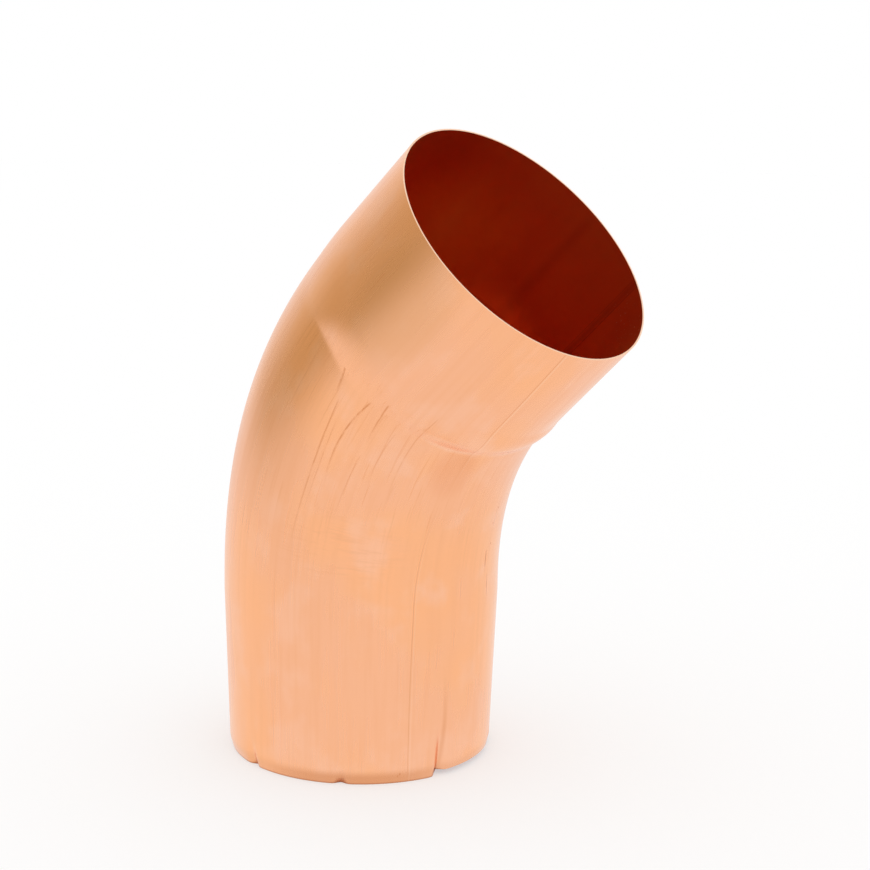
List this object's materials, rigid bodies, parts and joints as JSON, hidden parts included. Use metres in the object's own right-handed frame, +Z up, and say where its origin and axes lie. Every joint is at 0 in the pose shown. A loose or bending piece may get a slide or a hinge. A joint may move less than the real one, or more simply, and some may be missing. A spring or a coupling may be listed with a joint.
{
  "type": "downspout elbow",
  "caption": "Round copper downspout elbow that turns a rainwater pipe through 45 degrees, with a plain socket at the upper end and a drawn-in, pleated spigot at the lower end.",
  "frame": {"origin": "centre of the spigot's mouth, on the plane of its cut edge, which stands on the floor", "axes": "+Z up the straight lower leg, +X towards the side that the socket leans to, so the bend lies in the XZ plane"},
  "size_m": [0.1569, 0.102, 0.2299],
  "materials": {
    "copper": "bright satin copper sheet with handling marks, oxidised dark red inside"
  },
  "bodies": {
    "root": {"elbow": "copper"}
  },
  "joints": []
}
